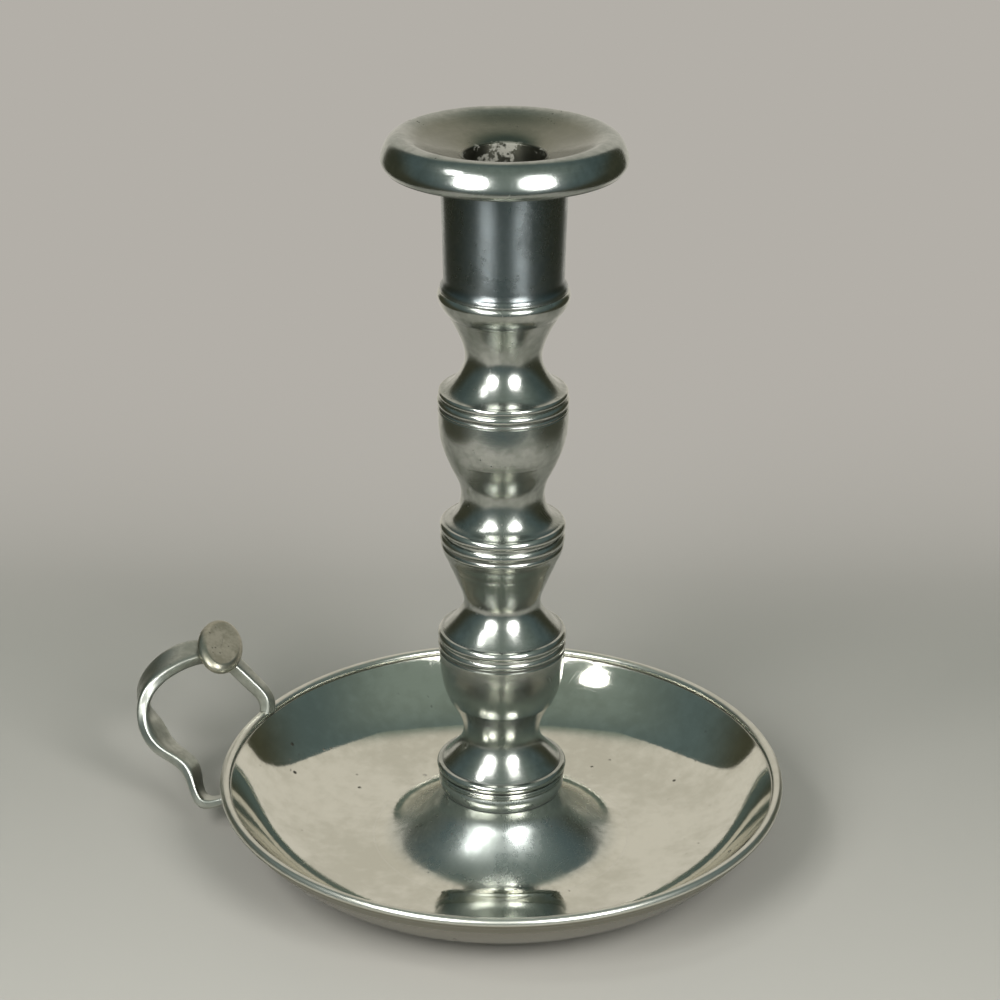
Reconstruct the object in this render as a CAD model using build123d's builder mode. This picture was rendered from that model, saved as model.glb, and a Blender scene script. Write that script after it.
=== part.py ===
# A chamberstick: a saucer dish with a finger loop at its rim, a turned stem of
# four hollow castings on a foot, a candle cup and a lift-off flared nozzle.
# Lengths are millimetres. The stem axis is Z and the table is at height zero.
# The finger loop stands out along -X and the front of the dish is -Y.
from build123d import *
import os

os.makedirs("parts", exist_ok=True)

# Driving sizes
dish_radius = 82.5
rim_height = 22.0
socket_radius = 11.1
nozzle_radius = 33.0
collar_radius = 18.4

# Heights of the castings of the stem and of the candle cup, and the seams
# where one casting stands on the next
foot_seam = 22.9
base_height = 44.0
lower_height = 33.85
middle_height = 40.7
upper_height = 30.95
cup_height = 35.6
base_seam = foot_seam + base_height
lower_seam = base_seam + lower_height
middle_seam = lower_seam + middle_height
cup_seam = middle_seam + upper_height
cup_top = cup_seam + cup_height

# Metal, fits and joints
sheet_metal = 2.2
casting_wall = 1.8
slip_clearance = 0.05
seat_gap = 0.05
mouth_radius = 15.0
mouth_depth = 3.5
spigot_wall = 1.8
spigot_length = 2.5
edge_softness = 0.4

# The dish: a ring to stand on, a rolled rim, and how far inside and below the
# rim its wall ends on the inside and on the outside
stand_radius = 46.0
rim_bead_radius = 1.5
inside_inset = 3.2
inside_drop = 0.6
outside_inset = 1.45
outside_drop = 2.1

# The recess under the middle of the dish that hides the nut
recess_height = 8.0
recess_top_radius = 9.0
recess_base_radius = 15.0

# The foot: a hollow trumpet under a shallow bead, let into a seat in the dish
foot_radius = 30.0
foot_seat_height = 3.6
foot_edge = 0.8
waist_radius = 16.5

# The candle cup and the sleeve of the nozzle
cup_foot_radius = 17.6
cup_wall_radius = 16.65
cup_lip_radius = 17.4
cup_ring_height = 1.9
cup_floor_rise = 6.0
sleeve_wall = 1.25
sleeve_length = 22.0
guide_height = 8.0
hole_rise = 1.8
funnel_rise = 5.9
nozzle_seat_radius = 16.6

# The tie rod and what it pulls on
rod_radius = 2.5
rod_head_radius = 6.5
rod_head_height = 2.0
washer_radius = 7.0
washer_height = 1.0
nut_width = 8.0
nut_height = 4.0
rod_tail = 0.6

# The finger loop: a strap that leaves the rim, curls over and tucks back under
loop_inset = 10.8
loop_low_y = 5.8
loop_drop = 12.3
loop_reach = 36.3
loop_spread = 35.1
loop_rise = 30.5
strap_width = 10.5
strap_metal = 4.3

# The thumb rest: an oval button on the rising arm of the loop
thumb_length = 22.0
thumb_width = 14.4
thumb_metal = 4.0

# The inside of the dish, as shares of the way from the edge of the foot out to
# the rim and of the height of the rim, and its underside, as shares of the way
# from the ring it stands on
dish_inside_shares = (
    (0.0, 0.2),
    (0.114, 0.1455),
    (0.229, 0.109),
    (0.343, 0.1045),
    (0.533, 0.209),
    (0.743, 0.473),
)
dish_under_shares = ((0.351, 0.116), (0.6685, 0.394))

# The rolled rim: where it leaves the wall, its crest and where it ends below,
# as shares of its radius about its middle
rim_bead_shares = ((-0.94, -0.342), (0.0, 1.0), (0.42, -0.9075))

# The lip of the nozzle over its crest, and its underside back to the cup, as
# shares of its radius and of its height from the hole to the crest
crest_share = 0.843
funnel_middle_share = 0.56
lip_curve_shares = ((0.93, 0.21), (0.99, 0.72), (1.0, 1.28), (0.97, 1.55))
under_curve_shares = ((0.79, 0.42), (0.86, 0.4), (0.93, 0.76), (0.945, 1.5))

# Softness of the strap and of the thumb rest, and where the thumb rest sits
strap_corner_share = 0.3
thumb_edge_share = 0.45
thumb_place_shares = (0.419, 0.986, 1.036)
thumb_long_shares = (0.12, 0.92, 0.36)
thumb_facing_shares = (0.5, -0.37, 0.79)

# How far out, how far back and how high each station of the strap stands
loop_place_shares = (
    (-0.015, 0.86, 0.41),
    (0.01, 0.905, 0.521),
    (0.138, 0.96, 0.705),
    (0.39, 1.0, 0.98),
    (0.802, 0.792, 1.013),
    (1.0, 0.581, 0.744),
    (0.957, 0.487, 0.557),
    (0.813, 0.316, 0.367),
    (0.581, 0.145, 0.223),
    (0.468, 0.0, -0.033),
    (0.215, 0.03, 0.007),
    (-0.03, 0.06, 0.14),
)

# The direction across the strap at each station
loop_across_shares = (
    (0.45, 0.89, 0.0),
    (0.3, 0.95, 0.05),
    (0.1, 0.97, 0.15),
    (-0.12, 0.92, 0.36),
    (-0.58, 0.81, 0.01),
    (-0.2, 0.86, -0.45),
    (0.38, 0.82, -0.45),
    (0.58, 0.76, -0.3),
    (0.42, 0.85, -0.3),
    (0.15, 0.95, -0.25),
    (0.2, 0.9, -0.3),
    (0.25, 0.9, -0.3),
)

# Width and thickness of the strap at each station
loop_width_shares = (0.46, 0.44, 0.48, 0.64, 0.92, 0.98, 0.92, 0.83, 0.68, 0.65, 0.56, 0.5)
loop_metal_shares = (0.85, 0.9, 0.95, 0.95, 0.94, 0.93, 0.9, 0.85, 0.8, 0.74, 0.65, 0.6)

# Outlines of the four castings of the stem: points as shares of the collar
# radius and of the height between the two seams of the casting.
base_bead_shares = ((0.984, 0.048), (1.024, 0.072), (0.962, 0.105))
base_ogee_shares = ((0.94, 0.106), (0.783, 0.17), (0.652, 0.245), (0.603, 0.33))
base_bell_shares = (
    (0.603, 0.33),
    (0.663, 0.443),
    (0.777, 0.534),
    (0.886, 0.625),
    (0.957, 0.761),
    (0.989, 0.927),
)
base_crown_shares = ((0.978, 0.951), (1.003, 0.98), (0.973, 0.996))

lower_bead_shares = ((0.967, 0.012), (1.008, 0.053), (0.957, 0.092))
lower_ogee_shares = ((0.924, 0.093), (0.788, 0.163), (0.663, 0.25), (0.595, 0.355))
lower_bell_shares = (
    (0.595, 0.355),
    (0.636, 0.458),
    (0.723, 0.576),
    (0.81, 0.69),
    (0.913, 0.812),
    (0.943, 0.89),
)
lower_crown_shares = ((0.935, 0.916), (0.962, 0.957), (0.935, 0.987))

middle_bead_shares = ((0.935, 0.018), (0.97, 0.048), (0.918, 0.08))
middle_ogee_shares = ((0.891, 0.08), (0.783, 0.11), (0.679, 0.185), (0.644, 0.286))
middle_bell_shares = (
    (0.644, 0.286),
    (0.685, 0.385),
    (0.788, 0.483),
    (0.918, 0.63),
    (0.973, 0.728),
    (0.989, 0.908),
)
middle_crown_shares = ((0.978, 0.947), (1.0, 0.977), (0.973, 0.996))

upper_bead_shares = ((0.957, 0.01), (0.981, 0.038), (0.935, 0.066))
upper_ogee_shares = ((0.913, 0.067), (0.734, 0.16), (0.62, 0.27), (0.582, 0.37))
upper_bell_shares = (
    (0.582, 0.37),
    (0.609, 0.484),
    (0.69, 0.613),
    (0.799, 0.739),
    (0.88, 0.807),
    (0.973, 0.887),
)
upper_crown_shares = ((0.973, 0.887), (0.989, 0.94), (0.957, 0.996))

# The trumpet of the foot from its edge up to the waist, as shares of the way out
# from the waist and of the height of the foot, the bead on top of it, across as
# shares of the collar radius, and the hollow inside the trumpet
foot_curve_shares = ((0.704, 0.08), (0.407, 0.15), (0.185, 0.275), (0.052, 0.435), (0.0, 0.59))
foot_bead_shares = ((0.935, 0.763), (0.993, 0.9145), (0.972, 0.986))
foot_hollow_shares = ((0.046, 0.415), (0.196, 0.218), (0.425, 0.078), (0.7255, 0.0))


def between(low, high, shares):
    # Outline points on a casting that stands between two seams
    return [
        (collar_radius * across, low + (high - low) * up) for across, up in shares
    ]


def cast_section(label, low, high, bead, ogee, bell, crown):
    # One casting of the stem: bead, ogee, neck, bell and crown, hollow inside
    bead_points = between(low, high, bead)
    ogee_points = between(low, high, ogee)
    bell_points = between(low, high, bell)
    crown_points = between(low, high, crown)
    neck_radius, neck_height = ogee_points[-1]
    spigot_radius = mouth_radius - slip_clearance
    throat = spigot_radius - spigot_wall
    with BuildPart() as section:
        with BuildSketch(Plane.XZ):
            with BuildLine():
                Polyline(
                    (throat, low - spigot_length),
                    (spigot_radius, low - spigot_length),
                    (spigot_radius, low),
                    (bead_points[0][0], low),
                    bead_points[0],
                )
                ThreePointArc(*bead_points)
                Line(bead_points[-1], ogee_points[0])
                Spline(*ogee_points, tangents=((-1, 0.25), (0, 1)))
                Spline(*bell_points, tangents=((0, 1), (0.1, 1)))
                if crown_points[0] != bell_points[-1]:
                    Line(bell_points[-1], crown_points[0])
                ThreePointArc(*crown_points)
                Polyline(
                    crown_points[-1],
                    (crown_points[-1][0], high),
                    (mouth_radius, high),
                    (mouth_radius, high - mouth_depth),
                )
                Spline(
                    (mouth_radius, high - mouth_depth),
                    (bell_points[2][0] - casting_wall, bell_points[2][1]),
                    (neck_radius - casting_wall, neck_height),
                    (throat, low),
                    tangents=((0, -1), (0, -1)),
                )
                Line((throat, low), (throat, low - spigot_length))
            make_face()
        revolve(axis=Axis.Z)
    section.part.label = label
    export_step(section.part, "parts/" + label + ".step")
    return section.part



def finish(builder, label):
    # Name a finished piece and write it out under that name
    builder.part.label = label
    export_step(builder.part, "parts/" + label + ".step")


# The saucer dish: the floor falls away from the foot to a shallow valley and
# climbs ever steeper to a rolled rim, the foot is let in, and the middle is
# raised so that the nut hides under it
dish_inside = [
    (foot_radius + (dish_radius - foot_radius) * across, rim_height * up)
    for across, up in dish_inside_shares
]
dish_inside.append((dish_radius - inside_inset, rim_height - inside_drop))
dish_under = [
    (stand_radius + (dish_radius - stand_radius) * across, rim_height * up)
    for across, up in dish_under_shares
]
dish_under.append((dish_radius - outside_inset, rim_height - outside_drop))
rim_points = [
    (
        dish_radius - rim_bead_radius + rim_bead_radius * across,
        rim_height + rim_bead_radius * up,
    )
    for across, up in rim_bead_shares
]
with BuildPart() as dish:
    with BuildSketch(Plane.XZ):
        with BuildLine():
            Polyline(
                (rod_radius + slip_clearance, recess_height),
                (recess_top_radius, recess_height),
                (recess_base_radius, 0),
                (stand_radius, 0),
            )
            Spline((stand_radius, 0), *dish_under, tangents=((1, 0), (0.6, 0.8)))
            Line(dish_under[-1], rim_points[2])
            ThreePointArc(rim_points[2], rim_points[1], rim_points[0])
            Line(rim_points[0], dish_inside[-1])
            Spline(*dish_inside, tangents=((1, -0.2), (0.6, 0.8)))
            Polyline(
                dish_inside[0],
                (foot_radius, foot_seat_height),
                (recess_base_radius + sheet_metal, foot_seat_height),
                (recess_top_radius + sheet_metal, recess_height + sheet_metal),
                (rod_radius + slip_clearance, recess_height + sheet_metal),
                (rod_radius + slip_clearance, recess_height),
            )
        make_face()
    revolve(axis=Axis.Z)
finish(dish, "dish")

# The dish filled up to its rim, which trims what is joined to it from outside
with BuildPart() as dish_bulk:
    with BuildSketch(Plane.XZ):
        with BuildLine():
            Line((0, 0), (stand_radius, 0))
            Spline((stand_radius, 0), *dish_under, tangents=((1, 0), (0.6, 0.8)))
            Line(dish_under[-1], rim_points[2])
            ThreePointArc(rim_points[2], (dish_radius, rim_height), rim_points[1])
            Polyline(rim_points[1], (0, rim_points[1][1]), (0, 0))
        make_face()
    revolve(axis=Axis.Z)


# The foot, a hollow trumpet standing in its seat in the dish, with a bead
foot_low = foot_seat_height
foot_tall = foot_seam - foot_low
foot_rim_radius = foot_radius - slip_clearance
hollow_radius = waist_radius - casting_wall
foot_curve = [
    (waist_radius + (foot_radius - waist_radius) * across, foot_low + foot_tall * up)
    for across, up in foot_curve_shares
]
foot_bead = [
    (collar_radius * across, foot_low + foot_tall * up)
    for across, up in foot_bead_shares
]
foot_hollow = [
    (hollow_radius + (foot_radius - hollow_radius) * across, foot_low + foot_tall * up)
    for across, up in foot_hollow_shares
]
with BuildPart() as foot:
    with BuildSketch(Plane.XZ):
        with BuildLine():
            Line((foot_rim_radius, foot_low), (foot_rim_radius, foot_low + foot_edge))
            Spline(
                (foot_rim_radius, foot_low + foot_edge),
                *foot_curve,
                tangents=((-1, 0.2), (0, 1)),
            )
            Line(foot_curve[-1], foot_bead[0])
            ThreePointArc(*foot_bead)
            Polyline(
                foot_bead[-1],
                (foot_bead[-1][0], foot_seam),
                (mouth_radius, foot_seam),
                (mouth_radius, foot_seam - mouth_depth),
                (hollow_radius, foot_curve[-1][1]),
            )
            Spline(
                (hollow_radius, foot_curve[-1][1]),
                *foot_hollow,
                tangents=((0, -1), (1, -0.3)),
            )
            Line(foot_hollow[-1], (foot_rim_radius, foot_low))
        make_face()
    revolve(axis=Axis.Z)
finish(foot, "foot")


# The four castings of the stem, from the foot up
castings = (
    (
        "shaft_base",
        (foot_seam, base_seam),
        (base_bead_shares, base_ogee_shares, base_bell_shares, base_crown_shares),
    ),
    (
        "shaft_lower",
        (base_seam, lower_seam),
        (lower_bead_shares, lower_ogee_shares, lower_bell_shares, lower_crown_shares),
    ),
    (
        "shaft_middle",
        (lower_seam, middle_seam),
        (
            middle_bead_shares,
            middle_ogee_shares,
            middle_bell_shares,
            middle_crown_shares,
        ),
    ),
    (
        "shaft_upper",
        (middle_seam, cup_seam),
        (upper_bead_shares, upper_ogee_shares, upper_bell_shares, upper_crown_shares),
    ),
)
for label, seams, outlines in castings:
    cast_section(label, *seams, *outlines)


# The candle cup, with a small ring at its foot, a floor that the tie rod pulls
# on, and a thick mouth that guides the sleeve of the nozzle
sleeve_radius = socket_radius + sleeve_wall
guide_radius = sleeve_radius + slip_clearance
cup_spigot = mouth_radius - slip_clearance
cup_floor_height = cup_seam + cup_floor_rise
with BuildPart() as candle_cup:
    with BuildSketch(Plane.XZ):
        with BuildLine():
            Polyline(
                (rod_radius + slip_clearance, cup_seam - spigot_length),
                (cup_spigot, cup_seam - spigot_length),
                (cup_spigot, cup_seam),
                (cup_foot_radius, cup_seam),
                (cup_foot_radius, cup_seam + edge_softness),
            )
            ThreePointArc(
                (cup_foot_radius, cup_seam + edge_softness),
                (
                    (cup_foot_radius + cup_wall_radius) / 2,
                    cup_seam + cup_ring_height / 2 + edge_softness,
                ),
                (cup_wall_radius, cup_seam + cup_ring_height),
            )
            Polyline(
                (cup_wall_radius, cup_seam + cup_ring_height),
                (cup_lip_radius, cup_top - edge_softness),
                (cup_lip_radius - edge_softness, cup_top),
                (guide_radius, cup_top),
                (guide_radius, cup_top - guide_height),
                (mouth_radius, cup_top - guide_height),
                (mouth_radius, cup_floor_height),
                (rod_radius + slip_clearance, cup_floor_height),
                (rod_radius + slip_clearance, cup_seam - spigot_length),
            )
        make_face()
    revolve(axis=Axis.Z)
finish(candle_cup, "candle_cup")


# The flared nozzle: a funnel rolled over at its edge, on a sleeve that slips
# into the cup and holds the candle
nozzle_seat = cup_top + seat_gap
nozzle_hole_height = cup_top + hole_rise
nozzle_crest_height = nozzle_hole_height + funnel_rise
crest = (nozzle_radius * crest_share, nozzle_crest_height)
lip = [
    (nozzle_radius * across, nozzle_crest_height - funnel_rise * down)
    for across, down in lip_curve_shares
]
under = [
    (nozzle_radius * across, nozzle_crest_height - funnel_rise * down)
    for across, down in under_curve_shares
]
with BuildPart() as nozzle:
    with BuildSketch(Plane.XZ):
        with BuildLine():
            Polyline(
                (socket_radius, nozzle_hole_height),
                (socket_radius, nozzle_seat - sleeve_length),
                (sleeve_radius, nozzle_seat - sleeve_length),
                (sleeve_radius, nozzle_seat),
                (nozzle_seat_radius, nozzle_seat),
                under[0],
            )
            Spline(*under)
            Line(under[-1], lip[-1])
            Spline(crest, *lip, tangents=((1, 0), (-0.35, -1)))
            Spline(
                (socket_radius, nozzle_hole_height),
                ((socket_radius + crest[0]) / 2, nozzle_hole_height + funnel_rise * funnel_middle_share),
                crest,
                tangents=((1, 0.3), (1, 0)),
            )
        make_face()
    revolve(axis=Axis.Z)
finish(nozzle, "nozzle")


# The tie rod with its head in the floor of the cup, and the washer and nut
# that pull the stem together from under the dish
washer_low = recess_height - washer_height
nut_low = washer_low - nut_height
with BuildPart() as tie_rod:
    with BuildSketch(Plane.XY.offset(nut_low - rod_tail)):
        Circle(rod_radius)
    extrude(amount=cup_floor_height - nut_low + rod_tail)
    with BuildSketch(Plane.XY.offset(cup_floor_height)):
        Circle(rod_head_radius)
    extrude(amount=rod_head_height)
    fillet(tie_rod.edges().sort_by(Axis.Z)[-1], edge_softness)
finish(tie_rod, "tie_rod")

with BuildPart() as washer:
    with BuildSketch(Plane.XY.offset(washer_low)):
        Circle(washer_radius)
        Circle(rod_radius + slip_clearance, mode=Mode.SUBTRACT)
    extrude(amount=washer_height)
finish(washer, "washer")

with BuildPart() as nut:
    with BuildSketch(Plane.XY.offset(nut_low)):
        RegularPolygon(nut_width / 2, 6, major_radius=False)
        Circle(rod_radius + slip_clearance, mode=Mode.SUBTRACT)
    extrude(amount=nut_height)
finish(nut, "nut")


# The finger loop: rounded strap sections along the curl, lofted in one run and
# trimmed where the strap lies on the rim and on the underside of the dish
loop_places = [
    Vector(
        loop_inset - dish_radius - loop_reach * out,
        loop_low_y + loop_spread * back,
        rim_height - loop_drop + loop_rise * up,
    )
    for out, back, up in loop_place_shares
]
last = len(loop_places) - 1
with BuildPart() as finger_loop:
    for index, place in enumerate(loop_places):
        heading = loop_places[min(index + 1, last)] - loop_places[max(index - 1, 0)]
        across = Vector(*loop_across_shares[index])
        across = across - heading * (across.dot(heading) / heading.dot(heading))
        width = strap_width * loop_width_shares[index]
        metal = strap_metal * loop_metal_shares[index]
        with BuildSketch(Plane(origin=place, x_dir=across, z_dir=heading)):
            RectangleRounded(width, metal, metal * strap_corner_share)
    loft()
    add(dish_bulk.part, mode=Mode.SUBTRACT)
finish(finger_loop, "finger_loop")


# The thumb rest: an oval button with a soft edge, seated on the strap
thumb_place = Vector(
    loop_inset - dish_radius - loop_reach * thumb_place_shares[0],
    loop_low_y + loop_spread * thumb_place_shares[1],
    rim_height - loop_drop + loop_rise * thumb_place_shares[2],
)
with BuildPart() as thumb_rest:
    with BuildSketch(
        Plane(
            origin=thumb_place,
            x_dir=Vector(*thumb_long_shares),
            z_dir=Vector(*thumb_facing_shares),
        )
    ):
        Ellipse(thumb_length / 2, thumb_width / 2)
    extrude(amount=thumb_metal)
    fillet(thumb_rest.edges(), thumb_metal * thumb_edge_share)
    add(finger_loop.part, mode=Mode.SUBTRACT)
finish(thumb_rest, "thumb_rest")
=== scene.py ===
# %% [markdown]
# # A pewter chamberstick with a finger loop
# A saucer dish carries a stem of four hollow castings, a candle cup and a
# flared nozzle that lifts off. A flat strap curls from the rim into a finger
# loop, with an oval button on it for the thumb. This script builds what the
# eye sees of each piece on top of the imported frame, piece by piece, then
# gives every piece its finish, and ends with the light and the camera.
#
# The frame is opened first. It holds the solids of the object at their places
# and the bodies that they move with.

import math
import bpy
from mathutils import Matrix, Vector


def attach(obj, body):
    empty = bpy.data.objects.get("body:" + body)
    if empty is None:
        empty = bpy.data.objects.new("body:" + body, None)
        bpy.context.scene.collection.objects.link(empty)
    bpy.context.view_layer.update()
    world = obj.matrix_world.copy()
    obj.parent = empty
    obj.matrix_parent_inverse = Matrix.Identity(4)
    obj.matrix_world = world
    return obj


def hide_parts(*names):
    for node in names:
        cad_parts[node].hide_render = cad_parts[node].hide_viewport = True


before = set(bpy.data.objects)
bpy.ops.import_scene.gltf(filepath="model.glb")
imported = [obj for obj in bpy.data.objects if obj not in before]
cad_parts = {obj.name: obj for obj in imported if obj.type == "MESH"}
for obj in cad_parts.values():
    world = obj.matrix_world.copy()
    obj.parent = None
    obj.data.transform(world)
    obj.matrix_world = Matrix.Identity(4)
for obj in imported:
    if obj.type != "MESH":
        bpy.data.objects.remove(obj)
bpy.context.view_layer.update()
print("pieces in the frame:", sorted(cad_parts))

# %% [markdown]
# ## Outlines
# Every round piece is turned from an outline: a closed run of points, each a
# distance from the stem axis and a height, in millimetres. A turner's template
# has three kinds of stretch, and so has the outline: straight steps, beads and
# long curves. A bead is an arc, and it is placed by three points, because then
# its crest can be put exactly where it is on the object.


# %% Steps and beads
def line(*points):
    # Straight steps from point to point
    return list(points)


def bead(low, crest, high, steps=14):
    # An arc from low over the crest to high, divided evenly
    (ax, ay), (bx, by), (cx, cy) = low, crest, high
    scale = 2 * (ax * (by - cy) + bx * (cy - ay) + cx * (ay - by))
    a_squared = ax * ax + ay * ay
    b_squared = bx * bx + by * by
    c_squared = cx * cx + cy * cy
    center_x = (a_squared * (by - cy) + b_squared * (cy - ay) + c_squared * (ay - by)) / scale
    center_y = (a_squared * (cx - bx) + b_squared * (ax - cx) + c_squared * (bx - ax)) / scale
    start = math.atan2(ay - center_y, ax - center_x)
    middle = math.atan2(by - center_y, bx - center_x)
    end = math.atan2(cy - center_y, cx - center_x)
    full_turn = 2 * math.pi
    sweep = (end - start) % full_turn
    if (middle - start) % full_turn > sweep:
        sweep -= full_turn
    radius = math.hypot(ax - center_x, ay - center_y)
    arc = []
    for k in range(steps + 1):
        angle = start + sweep * k / steps
        arc.append((center_x + radius * math.cos(angle), center_y + radius * math.sin(angle)))
    return arc


print("a bead placed by three points has", len(bead((0, 0), (1, 1), (0, 2))), "points")

# %% [markdown]
# A long hollow or swell is one smooth curve through a few points. Its slope
# and its bend both run on through each point, because a kink too small to see
# in the outline shows in a polished surface. Slopes that do this depend on one
# another, so they are found together: once down the row of points, and once
# back up. A curve that has to leave or arrive in a set direction is told so.


# %% Smooth curves
def slopes(values, gaps, first, final):
    # The slope at each point that lets the bend run on through all of them
    count = len(values)
    before = [0.0] * count
    own = [1.0] * count
    after = [0.0] * count
    wanted = [0.0] * count
    for k in range(1, count - 1):
        before[k] = gaps[k]
        own[k] = 2 * (gaps[k - 1] + gaps[k])
        after[k] = gaps[k - 1]
        rise = (values[k] - values[k - 1]) / gaps[k - 1] * gaps[k]
        rise += (values[k + 1] - values[k]) / gaps[k] * gaps[k - 1]
        wanted[k] = 3 * rise
    if first is None:
        own[0], after[0] = 2.0, 1.0
        wanted[0] = 3 * (values[1] - values[0]) / gaps[0]
    else:
        wanted[0] = first
    if final is None:
        before[-1], own[-1] = 1.0, 2.0
        wanted[-1] = 3 * (values[-1] - values[-2]) / gaps[-1]
    else:
        wanted[-1] = final
    for k in range(1, count):
        share = before[k] / own[k - 1]
        own[k] -= share * after[k - 1]
        wanted[k] -= share * wanted[k - 1]
    found = [0.0] * count
    found[-1] = wanted[-1] / own[-1]
    for k in range(count - 2, -1, -1):
        found[k] = (wanted[k] - after[k] * found[k + 1]) / own[k]
    return found


def flow(points, steps=12, first=None, final=None):
    # One smooth curve through points of any dimension, from the first direction to the final one
    gaps = [math.dist(a, b) for a, b in zip(points, points[1:])]
    columns = []
    for axis in range(len(points[0])):
        values = [point[axis] for point in points]
        start = None if first is None else first[axis] / math.hypot(*first)
        end = None if final is None else final[axis] / math.hypot(*final)
        tilt = slopes(values, gaps, start, end)
        column = []
        for k, gap in enumerate(gaps):
            for step in range(steps):
                t = step / steps
                column.append(
                    (1 + 2 * t) * (1 - t) ** 2 * values[k]
                    + t * (1 - t) ** 2 * gap * tilt[k]
                    + t * t * (3 - 2 * t) * values[k + 1]
                    + t * t * (t - 1) * gap * tilt[k + 1]
                )
        column.append(values[-1])
        columns.append(column)
    return list(zip(*columns))


print("a curve through three points has", len(flow([(0, 0), (1, 2), (2, 0)])), "points")

# %% [markdown]
# The stretches are put end to end. A point that two of them share is kept
# once, so that the mesh has no face without a width.

# %% Stretches put together
same_point = 1e-4


def joined(*runs):
    # The runs as one list of points
    points = []
    for run in runs:
        for point in run:
            if not points or math.dist(point, points[-1]) > same_point:
                points.append(point)
    return points


corner = joined(line((0, 0), (1, 0)), line((1, 0), (1, 1)))
print("two steps that share a point have", len(corner), "points")

# %% [markdown]
# Shade is painted dark into the grooves, and hands wear the crests of old
# pewter bright, so the finish has to know one from the other. The outline is
# measured for that: a chord is laid over a short stretch round each point, and
# how deep the point lies under it is kept as a number, from -1 on a crest to 1
# in a groove.

# %% Grooves and crests
chord_reach = 0.9
full_depth = 0.45
shortest_chord = 0.05


def point_along(outline, start, way, distance):
    # The point that lies a distance further on along the closed outline
    while True:
        following = (start + way) % len(outline)
        step = math.dist(outline[start], outline[following])
        if step >= distance:
            t = distance / step
            return [a + (b - a) * t for a, b in zip(outline[start], outline[following])]
        distance -= step
        start = following


def hollows(outline):
    # How deep each point lies under the chord of its surroundings
    depths = []
    for i, (r, z) in enumerate(outline):
        from_r, from_z = point_along(outline, i, -1, chord_reach)
        to_r, to_z = point_along(outline, i, 1, chord_reach)
        chord_r = to_r - from_r
        chord_z = to_z - from_z
        chord = max(math.hypot(chord_r, chord_z), shortest_chord)
        depth = (chord_r * (z - from_z) - chord_z * (r - from_r)) / chord
        depths.append(max(-1.0, min(1.0, depth / full_depth)))
    return depths


print("the corners of a square are crests:", hollows(line((0, 0), (9, 0), (9, 9), (0, 9))))

# %% [markdown]
# ## Pieces
# A piece is a named mesh. It rides on a body and moves with it, and it stands
# for the solid of its node, which is hidden.
# Edges above a set angle stay crisp and the rest is shaded smooth.

# %% A named piece
mm = 0.001
pieces = {}


def mesh_piece(name, corners, faces, node, body, crease=28, groove=None):
    # A mesh that rides on its body and stands for its node
    mesh = bpy.data.meshes.new(name)
    mesh.from_pydata(corners, [], faces)
    mesh.shade_smooth()
    mesh.set_sharp_from_angle(angle=math.radians(crease))
    if groove:
        mesh.attributes.new("groove", "FLOAT", "POINT").data.foreach_set("value", groove)
    piece = bpy.data.objects.new(name, mesh)
    bpy.context.scene.collection.objects.link(piece)
    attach(piece, body)
    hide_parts(node)
    pieces[node] = piece
    print(name, len(mesh.vertices), "corners,", [round(v, 4) for v in piece.dimensions])


print("one millimetre is", mm, "of the scene's metres")

# %% [markdown]
# A turned piece is its outline swept once round the stem axis. A Screw modifier
# could sweep it too, but here the corners are placed by a loop, because each
# one has to carry the groove number of its point on the outline.

# %% A turned piece
around = 224


def turned(name, outline, node, body, stands_at=0.0, segments=around):
    # The outline, standing at a height above the floor, swept round the axis
    rings = len(outline)
    corners = []
    for k in range(segments):
        angle = 2 * math.pi * k / segments
        c, s = math.cos(angle), math.sin(angle)
        corners += [(r * mm * c, r * mm * s, (stands_at + z) * mm) for r, z in outline]
    faces = []
    for k in range(segments):
        here = k * rings
        there = (k + 1) % segments * rings
        for i in range(rings):
            j = (i + 1) % rings
            faces.append((here + i, there + i, there + j, here + j))
    mesh_piece(name, corners, faces, node, body, groove=hollows(outline) * segments)


print("a turned piece has", around, "steps round the axis")

# %% [markdown]
# ## The dish
# On the real object the dish is spun from sheet on a lathe: a flat floor, one
# curve up to the rim, and the edge rolled over a wire into a bead. A small
# step shows inside the bead where the roll ends. The middle is pushed up under
# the foot, so that the nut of the tie rod hides there. The floor sinks into a
# shallow seat where the foot stands. The dish is the widest mirror here, so it
# gets more steps round the axis than the rest.

# %% Turn the dish
dish_radius = 82.5
rim_height = 22.0
rim_bead = 1.5
skirt_radius = 37.5
foot_seat = 1.6
rod_hole = 2.55
raised_under = 8.0
raised_top = 10.2
dish_around = 360
level = (1, 0)
up_the_wall = (0.6, 0.8)

inside = flow(
    [
        (skirt_radius, 2.3), (41.0, 2.2), (46.0, 2.5), (52.0, 3.35),
        (58.0, 4.9), (69.0, 10.4), (79.3, 21.4),
    ],
    24, (1, -0.05), up_the_wall,
)
under = flow([(46.0, 0.0), (58.8, 2.55), (70.4, 8.7), (81.05, 19.9)], 12, level, up_the_wall)
bead_middle = dish_radius - rim_bead
rolled = bead(
    (bead_middle + 0.42 * rim_bead, rim_height - 0.9075 * rim_bead),
    (bead_middle, rim_height + rim_bead),
    (bead_middle - 0.94 * rim_bead, rim_height - 0.342 * rim_bead),
    36,
)
dish_outline = joined(
    line((rod_hole, raised_under), (9.0, raised_under), (15.0, 0.0)),
    under,
    rolled,
    list(reversed(inside)),
    line((skirt_radius, foot_seat), (17.2, foot_seat), (11.2, raised_top), (rod_hole, raised_top)),
)
turned("dish_skin", dish_outline, "dish", "candlestick", segments=dish_around)

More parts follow.
